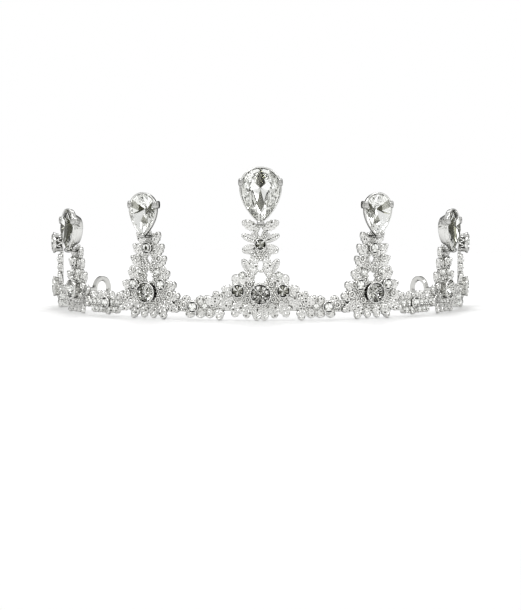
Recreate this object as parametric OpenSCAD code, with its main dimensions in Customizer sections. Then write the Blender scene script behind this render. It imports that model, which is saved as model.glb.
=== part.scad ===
// Tiara: seven stone-set spires on a curved band, with a plain arm and a round loop at each end.
// Millimetres. It stands upright on its lowest leaf tips and its two loops, with its front facing -Y.
// The origin is on the ground, under the middle of the whole outline.

/* [Band] */
// Radius of the ornament's middle surface, from the centre of the head
band_radius = 75; // [73:0.5:77]
// Angle from the front to each end of the plain inner strip
band_reach = 92.5; // [91.5:0.5:93.5]
// Height of the plain inner strip
strip_height = 3.2; // [2.6:0.1:3.6]
// Thickness of the plain inner strip
strip_thickness = 1.1; // [0.9:0.1:1.3]
// Height of the middle line of the strip, the arms and the loops above the ground
strip_level = 4.85; // [4.7:0.05:5]

/* [Arms and loops] */
// Thickness of the square wire of the arms and loops, whose corners are bevelled
arm_wire = 1.7; // [1.5:0.1:1.8]
// Diameter of the hole in each loop
loop_hole = 6.2; // [5.8:0.1:6.4]
// Bend radius of each arm, seen from above
arm_bend = 73.5; // [70:0.5:80]
// Angle at which each arm leaves the strip, measured from straight back
arm_heading = 20; // [18:1:22]
// Distance from the start of each arm to the centre of its loop
arm_length = 22.1; // [20:0.1:24]

/* [Spires] */
// Angle from the front to each inner spire
inner_angle = 31; // [30:0.5:32]
// Angle from the front to each outer spire
outer_angle = 61.5; // [60.5:0.5:62.5]
// Angle from the front to each small end spire
end_angle = 83; // [82:0.5:84]
// Height of the middle of the centre pear above the ground
centre_pear_level = 42.3; // [41.5:0.1:43]
// Height of the middle of each inner pear above the ground
inner_pear_level = 35.6; // [35:0.1:36.5]
// Height of the middle of each outer pear above the ground
outer_pear_level = 29.4; // [28.8:0.1:30]
// Height of the middle of each end spire's top stone above the ground
top_stone_level = 23.9; // [23.5:0.1:24.4]

/* [Stones] */
// Width of the centre pear stone
centre_pear_width = 13; // [12:0.5:13]
// Length of the centre pear stone
centre_pear_length = 18; // [17:0.5:18]
// Width of the other four pear stones
side_pear_width = 10; // [9:0.5:10]
// Length of the other four pear stones
side_pear_length = 14; // [13:0.5:14]
// Diameter of the large round stone low in each spire
base_stone_size = 6; // [5.5:0.1:6.2]
// Diameter of the round stone on top of each end spire
top_stone_size = 6.2; // [5.8:0.1:6.4]
// Diameter of the stones on both sides of the centre spire's base stone
flank_stone_size = 3.3; // [3:0.1:3.4]
// Diameter of the neck, garland and other flank stones
minor_stone_size = 2.7; // [2.4:0.1:2.8]
// Diameter of the small stones in the field
small_stone_size = 2; // [1.8:0.1:2.1]
// Clear space between each stone and the metal that holds it
stone_gap = 0.1; // [0.06:0.01:0.15]

/* [Hidden] */
// Distance from the front of the middle surface back to the origin
origin_depth = 50.1;
// Place of the castings' flat back, measured outward from the middle surface
back = -2;
// How far the strip's front reaches into the castings' flat back
strip_overlap = 0.2;
strip_inner_radius = band_radius + back - strip_thickness + strip_overlap;
strip_middle_radius = strip_inner_radius + strip_thickness / 2;
strip_sides = 56;

// Metal around the stones
rim = 0.75;
cup_back_rim = 0.08;
pear_rim = 0.6;
pear_back_share = 0.62;
pad_rim = 0.35;
pad_height = 1.7;
// Places of the girdles, measured outward from the middle surface
pear_out = 2.3;
large_out = 1.3;
minor_out = 0.4;
// Prongs of the pears: two at the widest place and one at the point
prong_size = 2.2;
prong_rise = 1.1;
prong_length = 2;
prong_place_share = 0.24;
// Openwork bars and leaves
bar_size = 1.5;
bar_depth = 1.1;
leaf_ridge = 1.3;
petal_limit = 5;

// Proportions of a cut stone, as shares of its width
crown_share = 0.17;
girdle_share = 0.05;
pavilion_share = 0.36;
pear_pavilion_share = 0.29;
table_share = 0.6;
least_girdle = 0.25;
culet_place_share = 0.13;
small_stone_height = 0.75;
small_table_share = 0.55;
// Stones wider than this have a pavilion and ten sides, and the others a flat back and eight
flat_back_limit = 5;

// Loop
loop_outer_radius = strip_level;
loop_inner_radius = loop_hole / 2;
loop_middle_radius = (loop_outer_radius + loop_inner_radius) / 2;
arm_sweep = 2 * asin(arm_length / 2 / arm_bend);
// The arm's own sweep ends inside the wall of its loop
arm_own_sweep = arm_sweep * (1 - loop_middle_radius / arm_length);
arm_bevel = 0.35;
// Turn about the bend's centre that leaves each arm just clear of its lug
arm_gap_turn = 0.05;

// Lug between the strip and each arm
lug_inset = 0.9;
lug_reach = 2.5;
lug_root = 0.6;
lug_face = 0.4;

// Where each arm starts, from the front of the middle surface
arm_start = [
    strip_middle_radius * sin(band_reach) - lug_inset,
    band_radius - strip_middle_radius * cos(band_reach) + lug_reach
];

// Columns of the leaf tables: sideways place, height, turn from upright towards the side,
// length, width and outward tilt. A spire's rows are for its right half, and repeat on its left.
SIDE = 0;
LEVEL = 1;
TURN = 2;
LENGTH = 3;
WIDTH = 4;
TILT = 5;

centre_leaves = [
    // Lobes at the pear's foot, marquise leaves and bow petals round the neck stone
    [0.9, 30.9, 64, 6.0, 3.6, 6],
    [0.9, 26.6, 66, 6.1, 2.4, 6],
    [1.1, 24.6, 100, 5.2, 3.2, 4],
    // Column, ears and buds
    [2.9, 14.6, -8, 8.2, 3.2, 2],
    [3.6, 16.2, 28, 5.4, 2.6, 8],
    [3.4, 13.4, 62, 4.6, 3.4, 8],
    // Fan over the flank stone
    [5.4, 11.4, 46, 5.8, 4.4, 10],
    [8.6, 9.8, 76, 5.0, 4.0, 12],
    // Petals and tips under the stones
    [0.9, 5.6, 175, 5.6, 3.4, 8],
    [3.6, 6.0, 163, 5.4, 4.0, 10],
    [6.8, 6.8, 156, 6.2, 4.2, 10],
    [9.4, 8.2, 128, 6.2, 4.0, 10]
];

inner_leaves = [
    // Pair at the pear's foot and two laurel pairs
    [0.9, 25.2, 40, 5.8, 3.4, 6],
    [2.2, 21.4, 44, 5.8, 3.3, 8],
    [2.9, 17.6, 48, 5.8, 3.3, 8],
    // Shoulders beside the arch and the base stone
    [3.9, 13.2, 56, 5.6, 3.5, 8],
    [6.2, 10.2, 66, 5.4, 3.8, 10],
    [6.8, 7.6, 84, 6.0, 3.8, 10],
    [5.6, 5.8, 112, 7.4, 3.6, 10],
    // Tips
    [1.4, 5.4, 172, 5.2, 3.6, 8],
    [4.4, 5.6, 158, 6.0, 3.8, 10]
];

outer_leaves = [
    // Pair at the pear's foot and one laurel pair
    [0.9, 19.2, 40, 5.4, 3.3, 6],
    [2.0, 15.4, 46, 5.6, 3.2, 8],
    // Shoulders beside the base stone
    [3.6, 11.2, 54, 5.6, 3.5, 8],
    [5.2, 8.0, 80, 5.8, 3.8, 10],
    [4.4, 6.0, 112, 6.8, 3.6, 10],
    // Tips
    [1.2, 5.2, 172, 5.0, 3.4, 8],
    [3.6, 5.4, 156, 5.8, 3.6, 10]
];

end_leaves = [
    // Two pairs up the column
    [0.7, 16.4, 44, 4.5, 2.6, 8],
    [0.7, 13.2, 50, 4.7, 2.8, 8],
    // Fan round the base stone
    [1.8, 9.4, 58, 6.0, 3.2, 10],
    [3.4, 7.2, 92, 5.0, 3.4, 10],
    [2.6, 5.2, 136, 5.8, 3.4, 10],
    [0.9, 4.8, 172, 4.7, 3.0, 8]
];

// Garland leaves, for the right side of the tiara, placed from each garland's middle
front_garland_leaves = [
    // Two up and one down beside the centre spire
    [-7.6, 5.4, 36, 5.8, 3.6, 10],
    [-5.8, 4.6, 52, 6.2, 3.6, 12],
    [-6.4, 4.8, 176, 4.8, 3.4, 8],
    // Petals above and below the stones
    [-2.5, 5.2, -10, 3.2, 3.2, 8],
    [0.5, 5.2, 4, 3.3, 3.8, 8],
    [5.4, 5.2, 14, 3.4, 3.6, 8],
    [-2.8, 4.0, 176, 3.3, 3.8, 8],
    [0.6, 4.0, 180, 3.3, 4.0, 8],
    [4.2, 4.0, 174, 3.3, 3.8, 8]
];

middle_garland_leaves = [
    [-6.4, 5.5, -20, 3.4, 3.2, 8],
    [-3.6, 5.6, 12, 3.4, 3.2, 8],
    [0.6, 5.5, 6, 3.4, 3.2, 8],
    [3.6, 5.6, -10, 3.4, 3.2, 8],
    [6.6, 5.5, 24, 3.4, 3.2, 8],
    [-1.5, 3.6, 178, 3.1, 3.2, 8]
];

back_garland_leaves = [
    [-3.4, 5.5, -16, 3.4, 3.2, 8],
    [-0.4, 5.6, 6, 3.4, 3.2, 8],
    [2.6, 5.5, 20, 3.4, 3.2, 8]
];

end_cap_leaves = [
    [0.2, 5.6, 40, 3.2, 2.8, 6],
    [0.2, 4.0, 140, 3.2, 2.8, 6]
];

front_garland_angle = 15.5;
middle_garland_angle = 46.8;
back_garland_angle = 73.6;
end_cap_angle = 89.6;

// Small stones of the right half. Columns: angle of the group, sideways place and level.
small_spots = [
    [0, 6.3, 15.4],
    [front_garland_angle, -1.2, 4.9],
    for (side = [-7.4, -4.8, 1.9, 4.5, 7.1]) [middle_garland_angle, side, 4.9],
    for (side = [-6.1, -3.5, 0.6, 3.2, 5.8]) [middle_garland_angle, side, 2.5],
    for (side = [-3.4, -0.8, 1.8]) [back_garland_angle, side, 4.9],
    for (side = [-2.1, 0.5, 3.1]) [back_garland_angle, side, 2.5],
    for (side = [-3.7, 3.7]) [inner_angle, side, 15.9],
    for (side = [-1, 1], spot = [[3.8, 12.0], [2.6, 14.6]]) [outer_angle, side * spot[0], spot[1]],
    for (level = [12.3, 15.0, 17.7]) [end_angle, 0, level]
];

// Main stones. Columns: node, shape, angle, sideways place, level, outward place of the girdle,
// width and length.
NAME = 0;
SHAPE = 1;
ANGLE = 2;
PLACE = 3;
HEIGHT = 4;
OUT = 5;
STONE_WIDTH = 6;
STONE_LENGTH = 7;

base_level = 9.1;
outer_base_level = 8.6;
end_base_level = 7.9;

centre_stones = [
    ["pear_centre", "pear", 0, 0, centre_pear_level, pear_out, centre_pear_width, centre_pear_length],
    round_row("base_stone_centre", 0, 0, base_level, large_out, base_stone_size),
    round_row("neck_stone_centre", 0, 0, 25.8, minor_out, minor_stone_size),
    round_row("flank_stone_centre_left", 0, -7.6, 10.2, minor_out, flank_stone_size),
    round_row("flank_stone_centre_right", 0, 7.6, 10.2, minor_out, flank_stone_size)
];

function round_row(name, angle, side, level, out, size) =
    [name, "round", angle, side, level, out, size, size];

function pear_row(name, angle, level) =
    [name, "pear", angle, 0, level, pear_out, side_pear_width, side_pear_length];

// Stones of one half, with mirror -1 for the left and 1 for the right
function half_stones(half, mirror_sign) = [
    pear_row(str("pear_inner_", half), mirror_sign * inner_angle, inner_pear_level),
    pear_row(str("pear_outer_", half), mirror_sign * outer_angle, outer_pear_level),
    round_row(str("base_stone_inner_", half), mirror_sign * inner_angle, 0, base_level,
        large_out, base_stone_size),
    round_row(str("base_stone_outer_", half), mirror_sign * outer_angle, 0, outer_base_level,
        large_out, base_stone_size),
    round_row(str("base_stone_end_", half), mirror_sign * end_angle, 0, end_base_level,
        large_out, base_stone_size),
    round_row(str("top_stone_", half), mirror_sign * end_angle, 0, top_stone_level,
        large_out, top_stone_size),
    round_row(str("neck_stone_inner_", half), mirror_sign * inner_angle, 0, 24.2,
        minor_out, minor_stone_size),
    round_row(str("neck_stone_outer_", half), mirror_sign * outer_angle, 0, 18.3,
        minor_out, minor_stone_size),
    for (side = [["near", -1], ["far", 1]])
        round_row(str("flank_stone_inner_", half, "_", side[0]), mirror_sign * inner_angle,
            mirror_sign * side[1] * 5.6, 11.8, minor_out, minor_stone_size),
    round_row(str("garland_stone_front_", half), mirror_sign * front_garland_angle,
        mirror_sign * 2.9, 4.6, minor_out, minor_stone_size),
    round_row(str("garland_stone_middle_", half), mirror_sign * middle_garland_angle,
        mirror_sign * -1.6, 4.8, minor_out, minor_stone_size),
    round_row(str("end_stone_", half), mirror_sign * end_cap_angle,
        mirror_sign * 2.0, 4.9, minor_out, minor_stone_size)
];

main_stones = concat(centre_stones, half_stones("left", -1), half_stones("right", 1));

// Puts children on the band: angle from the front, sideways and up, and outward
module on_band(angle, side, level, out) {
    turn = angle + side / band_radius * 180 / PI;
    translate([0, band_radius - origin_depth, level])
        rotate([0, 0, turn])
            translate([0, -band_radius - out, 0])
                children();
}

// Turns a shape drawn flat, with its front up, to face outward
module facing_out() {
    rotate([90, 0, 0]) children();
}

module both_sides() {
    children();
    mirror([1, 0, 0]) children();
}

// A leaf with a flat back and a raised ridge, tip upward. A short one is a rounded petal with one peak.
module leaf(length, width) {
    petal = length < petal_limit;
    shoulder = width / length > 0.6 ? 0.44 : 0.36;
    outline = [[0, 0], [-0.5, 0.36], [-shoulder, 0.76], [0, 1], [shoulder, 0.76], [0.5, 0.36]];
    peaks = petal
        ? [[0, -leaf_ridge, 0.5 * length]]
        : [[0, -leaf_ridge, 0.32 * length], [0, -0.8 * leaf_ridge, 0.72 * length]];
    front_faces = petal
        ? [for (i = [0:5]) [i, (i + 1) % 6, 6]]
        : [[0, 1, 6], [1, 7, 6], [1, 2, 7], [2, 3, 7], [3, 4, 7], [4, 5, 7], [5, 6, 7], [5, 0, 6]];
    polyhedron(
        concat([for (p = outline) [p[0] * width, 0, p[1] * length]], peaks),
        concat([[5, 4, 3, 2, 1, 0]], front_faces)
    );
}

module placed_leaf(angle, row, flip) {
    on_band(angle, flip * row[SIDE], row[LEVEL], back)
        rotate([0, flip * row[TURN], 0])
            rotate([row[TILT], 0, 0])
                leaf(row[LENGTH], row[WIDTH]);
}

// A straight bar between two places [side, level] on the band
module bar(angle, from, to) {
    hull()
        for (end = [from, to])
            on_band(angle, end[0], end[1], back)
                facing_out() cylinder(h = bar_depth, d = bar_size, $fn = 4);
}

module bars(angle, path) {
    for (i = [1:len(path) - 1]) {
        bar(angle, path[i - 1], path[i]);
        bar(angle, [-path[i - 1][0], path[i - 1][1]], [-path[i][0], path[i][1]]);
    }
}

// Outline of a pear cut with its point down, centred on its length
function pear_outline(width, length) = [
    for (t = [0:30:359])
        [width / 2 / 0.82 * sin(t) * pow(abs(sin(t / 2)), 0.7), -length / 2 * cos(t)]
];

// Sides of a round stone and its cup
function round_sides(size) = size > flat_back_limit ? 10 : 8;

function girdle_height(size) = max(girdle_share * size, least_girdle);

// A cut stone with its table up: table, crown, girdle, and a pavilion or a flat back
module round_stone(size, grow) {
    sides = round_sides(size);
    lift = size > flat_back_limit ? 0 : stone_gap - grow;
    translate([0, 0, lift])
        hull() {
            cylinder(h = crown_share * size + grow, d = table_share * size + grow, $fn = sides);
            rotate(180 / sides)
                cylinder(h = girdle_height(size), d = size + 2 * grow, $fn = sides);
            if (size > flat_back_limit)
                translate([0, 0, -pavilion_share * size - grow])
                    cylinder(h = pavilion_share * size, d1 = 0, d2 = size / 2, $fn = sides);
        }
}

module pear_stone(width, length, grow) {
    hull() {
        linear_extrude(crown_share * width + grow)
            polygon(pear_outline(table_share * width + grow, table_share * length + grow));
        linear_extrude(girdle_share * width)
            polygon(pear_outline(width + 2 * grow, length + 2 * grow));
        translate([0, culet_place_share * length, -pear_pavilion_share * width - grow])
            cylinder(h = pear_pavilion_share * width, d1 = 0, d2 = width / 2, $fn = 8);
    }
}

module main_stone(row, grow = 0) {
    on_band(row[ANGLE], row[PLACE], row[HEIGHT], row[OUT])
        facing_out()
            if (row[SHAPE] == "pear")
                pear_stone(row[STONE_WIDTH], row[STONE_LENGTH], grow);
            else
                round_stone(row[STONE_WIDTH], grow);
}

module small_stone(spot, grow = 0) {
    on_band(spot[0], spot[1], spot[2], back + pad_height + stone_gap - grow)
        facing_out()
            hull()
                cylinder(h = small_stone_height + grow, d1 = small_stone_size + 2 * grow,
                    d2 = small_table_share * small_stone_size + 2 * grow, $fn = 8);
}

// The metal under and round one main stone, from the flat back to just above its girdle
module setting(row) {
    width = row[STONE_WIDTH];
    depth = row[OUT] - back;
    on_band(row[ANGLE], row[PLACE], row[HEIGHT], row[OUT])
        facing_out()
            if (row[SHAPE] == "pear") pear_cup(width, row[STONE_LENGTH], depth);
            else round_cup(width, depth);
}

module round_cup(size, depth) {
    sides = round_sides(size);
    rotate(180 / sides)
        translate([0, 0, -depth])
            cylinder(h = depth + girdle_height(size), d1 = size + 2 * cup_back_rim,
                d2 = size + 2 * rim, $fn = sides);
}

// A cup that tapers from its rim to a small flat back, with three prongs
module pear_cup(width, length, depth) {
    rim_height = girdle_share * width;
    translate([0, 0, rim_height])
        mirror([0, 0, 1])
            linear_extrude(rim_height + depth, scale = pear_back_share)
                polygon(pear_outline(width + 2 * pear_rim, length + 2 * pear_rim));
    for (side = [-1, 1])
        translate([side * width / 2, prong_place_share * length, -prong_length])
            prong(prong_length + prong_rise);
    // The foot prong rises from the flat back to the stone's point
    translate([0, -length / 2, -depth]) prong(depth + prong_rise);
}

module prong(height) {
    cylinder(h = height, d = prong_size, $fn = 6);
}

module pad(spot) {
    on_band(spot[0], spot[1], spot[2], back)
        facing_out()
            rotate(30) cylinder(h = pad_height, d = small_stone_size + 2 * pad_rim, $fn = 6);
}

module strip() {
    translate([0, band_radius - origin_depth, strip_level - strip_height / 2])
        rotate([0, 0, -90 - band_reach])
            rotate_extrude(angle = 2 * band_reach, $fn = strip_sides)
                translate([strip_inner_radius, 0])
                    square([strip_thickness, strip_height]);
}

// Tapered joint from the right end of the strip to the start of the arm
module lug() {
    hull() {
        on_band(band_reach, 0, strip_level - strip_height / 2, strip_inner_radius - band_radius)
            translate([-lug_root, -strip_thickness, 0])
                cube([lug_root, strip_thickness, strip_height]);
        at_arm_start()
            rotate([90, 0, 0]) linear_extrude(lug_face) arm_section();
    }
}

module at_arm_start() {
    translate([arm_start[0], arm_start[1] - origin_depth, strip_level])
        rotate([0, 0, arm_heading])
            children();
}

// Square section with bevelled corners
module arm_section(width = arm_wire, height = arm_wire) {
    w = width / 2;
    h = height / 2;
    b = arm_bevel;
    polygon([
        [-w, -h + b], [-w + b, -h], [w - b, -h], [w, -h + b],
        [w, h - b], [w - b, h], [-w + b, h], [-w, h - b]
    ]);
}

// The right arm with its loop, starting just clear of the lug
module arm() {
    at_arm_start()
        translate([-arm_bend, 0, 0]) {
            rotate([0, 0, arm_gap_turn])
                rotate_extrude(angle = arm_own_sweep, $fn = 360)
                    translate([arm_bend, 0]) arm_section();
            rotate([0, 0, arm_sweep])
                translate([arm_bend, 0, 0])
                    rotate([0, 90, 0])
                        rotate_extrude($fn = 64)
                            translate([loop_middle_radius, 0])
                                arm_section(loop_outer_radius - loop_inner_radius);
        }
}

module centre_spire() {
    for (row = centre_leaves, flip = [-1, 1]) placed_leaf(0, row, flip);
    bars(0, [[2.7, 10.2], [2.9, 15.6]]);
    bars(0, [[1.9, 21.8], [1.2, 25.4], [1.3, 30.4], [0.6, 33.4]]);
    bar(0, [-2.6, 16.4], [2.6, 16.4]);
    bar(0, [-1.9, 21.8], [1.9, 21.8]);
    bars(0, [[3.6, 9.6], [5.8, 10.0]]);
}

module inner_spire() {
    for (row = inner_leaves, flip = [-1, 1]) placed_leaf(inner_angle, row, flip);
    bars(inner_angle, [[2.6, 10.4], [3.3, 15.2], [2.5, 20.2], [1.0, 23.4]]);
    bars(inner_angle, [[1.1, 25.2], [1.0, 29.8]]);
    bars(inner_angle, [[0, 16.2], [3.3, 14.8]]);
}

module outer_spire() {
    for (row = outer_leaves, flip = [-1, 1]) placed_leaf(outer_angle, row, flip);
    bars(outer_angle, [[2.4, 9.6], [2.8, 14.2], [1.0, 17.4]]);
    bars(outer_angle, [[1.1, 19.0], [1.0, 23.6]]);
}

module end_spire() {
    for (row = end_leaves, flip = [-1, 1]) placed_leaf(end_angle, row, flip);
    bars(end_angle, [[0.7, 9.8], [0.7, 21.6]]);
}

module garland(angle, rows) {
    for (row = rows) placed_leaf(angle, row, 1);
}

module frame() {
    color("silver") difference() {
        union() {
            strip();
            centre_spire();
            both_sides() {
                inner_spire();
                outer_spire();
                end_spire();
                garland(front_garland_angle, front_garland_leaves);
                garland(middle_garland_angle, middle_garland_leaves);
                garland(back_garland_angle, back_garland_leaves);
                garland(end_cap_angle, end_cap_leaves);
                for (spot = small_spots) pad(spot);
                lug();
            }
            for (row = main_stones) setting(row);
        }
        for (row = main_stones) main_stone(row, stone_gap);
        both_sides() for (spot = small_spots) small_stone(spot, stone_gap * 0.9);
    }
}

module arm_left() {
    color("silver") mirror([1, 0, 0]) arm();
}

module arm_right() {
    color("silver") arm();
}

module small_stones_left() {
    color("gainsboro") mirror([1, 0, 0]) for (spot = small_spots) small_stone(spot);
}

module small_stones_right() {
    color("gainsboro") for (spot = small_spots) small_stone(spot);
}

frame();
arm_left();
arm_right();
small_stones_left();
small_stones_right();
for (row = main_stones)
    color("whitesmoke") main_stone(row);
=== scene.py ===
"""Looks of the tiara: plated leaf openwork, cut stones in their cups, a pale floor and soft studio light."""

import math

import bpy
import numpy as np
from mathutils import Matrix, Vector


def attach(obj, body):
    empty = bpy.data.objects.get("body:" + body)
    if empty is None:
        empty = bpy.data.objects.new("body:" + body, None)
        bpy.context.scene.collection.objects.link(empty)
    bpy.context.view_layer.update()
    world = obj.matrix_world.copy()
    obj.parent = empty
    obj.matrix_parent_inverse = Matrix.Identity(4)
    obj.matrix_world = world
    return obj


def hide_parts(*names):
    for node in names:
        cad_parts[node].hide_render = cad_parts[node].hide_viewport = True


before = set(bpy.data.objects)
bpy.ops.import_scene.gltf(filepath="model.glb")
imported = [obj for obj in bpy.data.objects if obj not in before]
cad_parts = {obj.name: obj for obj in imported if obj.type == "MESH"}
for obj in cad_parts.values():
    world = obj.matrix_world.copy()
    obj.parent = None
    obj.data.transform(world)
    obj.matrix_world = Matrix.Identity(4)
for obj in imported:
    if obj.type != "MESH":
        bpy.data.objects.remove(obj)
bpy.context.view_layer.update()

MM = 0.001
TURN = 2 * math.pi

# Main sizes, in millimetres, as the solids have them
BAND_RADIUS = 75.0
BAND_REACH = 92.5
ORIGIN_DEPTH = 50.1
BACK = -2.0
STRIP_HEIGHT = 3.2
STRIP_THICKNESS = 1.1
STRIP_INNER_RADIUS = BAND_RADIUS + BACK - STRIP_THICKNESS + 0.2
STRIP_LEVEL = 4.85
ARM_WIRE = 1.7
ARM_HEADING = 20.0
LUG_INSET = 0.9
LUG_REACH = 2.5

INNER_ANGLE = 31.0
OUTER_ANGLE = 61.5
END_ANGLE = 83.0
FRONT_GARLAND_ANGLE = 15.5
MIDDLE_GARLAND_ANGLE = 46.8
BACK_GARLAND_ANGLE = 73.6
END_CAP_ANGLE = 89.6

# Metal round the stones
RIM = 0.75
CUP_BACK_RIM = 0.08
PEAR_RIM = 0.6
PEAR_BACK_SHARE = 0.62
PAD_RIM = 0.35
PAD_HEIGHT = 1.7
PEAR_OUT = 2.3
LARGE_OUT = 1.3
MINOR_OUT = 0.4
GROOVE = 0.26
WIDE_GROOVE = 0.36
PEAR_GROOVE = 0.1
PRONG_LENGTH = 2.0
PRONG_PLACE_SHARE = 0.24
STONE_GAP = 0.1

# Cut stones: shares of their width
CROWN_SHARE = 0.17
GIRDLE_SHARE = 0.05
PAVILION_SHARE = 0.36
PEAR_PAVILION_SHARE = 0.29
CULET_PLACE_SHARE = 0.13
LEAST_GIRDLE = 0.25
TABLE_SHARE = 0.6
PEAR_TABLE_SHARE = 0.68
PEAR_SPREAD = 0.068
SMALL_STONE_SIZE = 2.0
SMALL_TABLE_SHARE = 0.55
SMALL_CROWN = 0.45
SMALL_GIRDLE = 0.15
FLAT_BACK_LIMIT = 5.0
CUP_FLOOR = 0.15

HALVES = (("left", -1), ("right", 1))
# Finishes of the metal pieces, by their place in METALS. The third is near-black metal, painted shade put in
# grooves, cup floors, openings and pits.
CAST, POLISHED, PAINTED_SHADE_METAL = 0, 1, 2
# A stone's glass is its first material, and the foils behind it follow: silver, pale, grey and dark. Set
# facet by facet, the foil tones are painted reflections, light and dark facets where a cut stone mirrors its
# surroundings.
GLASS = 0
FOIL_LETTERS = "SPGD"

# Tables of a spire or a garland on the right. A spire's are for its right side, and its left side mirrors it.
# First its leaves: sideways place, level, turn from upright, length, width and outward tilt. Whole leaves are
# marked, and the others are clusters of cells. Then the outline of the grained ground behind them, from the
# bottom up, and the holes through it: sideways place, level and half sizes. Then small rings with a ball in
# them: sideways place, level, size and height above the back plane.
WHOLE = True
CENTRE_SPIRE = [
    [
        (0.9, 30.9, 64, 6.0, 3.6, 6), (0.9, 26.6, 66, 6.1, 2.4, 6, WHOLE),
        (1.1, 24.6, 100, 5.2, 3.2, 4, WHOLE), (2.9, 14.6, -8, 8.2, 3.2, 2),
        (3.6, 16.2, 28, 5.4, 2.6, 8, WHOLE), (3.4, 13.4, 62, 4.6, 3.4, 8), (5.4, 11.4, 46, 5.8, 4.4, 10),
        (8.6, 9.8, 76, 5.0, 4.0, 12), (0.9, 5.6, 175, 5.6, 3.4, 8, WHOLE), (3.6, 6.0, 163, 5.4, 4.0, 10),
        (6.8, 6.8, 156, 6.2, 4.2, 10), (9.4, 8.2, 128, 6.2, 4.0, 10),
    ],
    [
        (0, 3.4), (10.6, 3.6), (11.4, 7.0), (9.6, 10.4), (8.2, 12.4), (5.4, 13.4), (4.4, 17.0),
        (3.4, 21.0), (2.6, 22.2), (1.9, 26.0), (1.8, 32.0), (0, 34.0),
    ],
    [(0, 14.4, 2.3, 2.0), (0, 18.9, 1.6, 1.6), (0, 29.8, 0.7, 1.4)],
    [
        (2.2, 29.0, 0.8, 1.0), (2.6, 22.4, 0.8, 1.1), (2.1, 19.6, 0.8, 1.0), (3.7, 12.4, 0.8, 1.2),
        (4.4, 7.2, 0.8, 1.2), (10.9, 9.4, 1.0, 1.6), (8.4, 12.6, 1.0, 1.5),
    ],
]
SIDE_SPIRES = [
    ("inner", INNER_ANGLE,
        [
            (0.9, 25.2, 40, 5.8, 3.4, 6), (2.2, 21.4, 44, 5.8, 3.3, 8), (2.9, 17.6, 48, 5.8, 3.3, 8),
            (3.9, 13.2, 56, 5.6, 3.5, 8), (6.2, 10.2, 66, 5.4, 3.8, 10), (6.8, 7.6, 84, 6.0, 3.8, 10),
            (5.6, 5.8, 112, 7.4, 3.6, 10), (1.4, 5.4, 172, 5.2, 3.6, 8), (4.4, 5.6, 158, 6.0, 3.8, 10),
        ],
        [
            (0, 3.4), (8.4, 3.6), (9.0, 6.6), (7.2, 9.8), (5.6, 13.4), (4.0, 16.4), (3.6, 20.4),
            (2.0, 23.4), (1.4, 29.0), (0, 30.0),
        ],
        [(0, 14.4, 1.7, 2.0), (0, 20.2, 0.95, 1.7)],
        [
            (3.6, 24.4, 1.0, 1.3), (4.4, 20.7, 1.1, 1.5), (2.4, 18.2, 0.9, 1.3), (6.3, 16.9, 1.0, 1.6),
            (1.3, 16.9, 0.7, 1.2), (3.0, 13.4, 0.9, 1.2), (7.6, 11.9, 1.1, 1.6), (8.6, 8.6, 1.1, 1.7),
            (3.9, 6.6, 0.9, 1.3),
        ],
    ),
    ("outer", OUTER_ANGLE,
        [
            (0.9, 19.2, 40, 5.4, 3.3, 6), (2.0, 15.4, 46, 5.6, 3.2, 8), (3.6, 11.2, 54, 5.6, 3.5, 8),
            (5.2, 8.0, 80, 5.8, 3.8, 10), (4.4, 6.0, 112, 6.8, 3.6, 10), (1.2, 5.2, 172, 5.0, 3.4, 8),
            (3.6, 5.4, 156, 5.8, 3.6, 10),
        ],
        [
            (0, 3.4), (6.6, 3.6), (7.2, 6.4), (5.4, 9.4), (4.2, 13.4), (3.0, 16.0), (1.6, 18.4),
            (1.4, 23.0), (0, 24.0),
        ],
        [(0, 14.0, 1.3, 1.7)],
        [
            (3.2, 18.0, 1.0, 1.4), (1.2, 16.9, 0.8, 1.3), (6.4, 13.4, 1.0, 1.6), (6.0, 9.8, 1.1, 1.6),
            (3.6, 6.4, 0.9, 1.3),
        ],
    ),
    ("end", END_ANGLE,
        [
            (0.7, 16.4, 44, 4.5, 2.6, 8), (0.7, 13.2, 50, 4.7, 2.8, 8), (1.8, 9.4, 58, 6.0, 3.2, 10),
            (3.4, 7.2, 92, 5.0, 3.4, 10), (2.6, 5.2, 136, 5.8, 3.4, 10), (0.9, 4.8, 172, 4.7, 3.0, 8),
        ],
        [(0, 3.4), (4.6, 3.6), (4.8, 6.0), (3.4, 9.4), (1.4, 11.0), (1.2, 21.0), (0, 22.0)],
        [],
        [(2.4, 9.6, 0.8, 1.4)],
    ),
]
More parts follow.
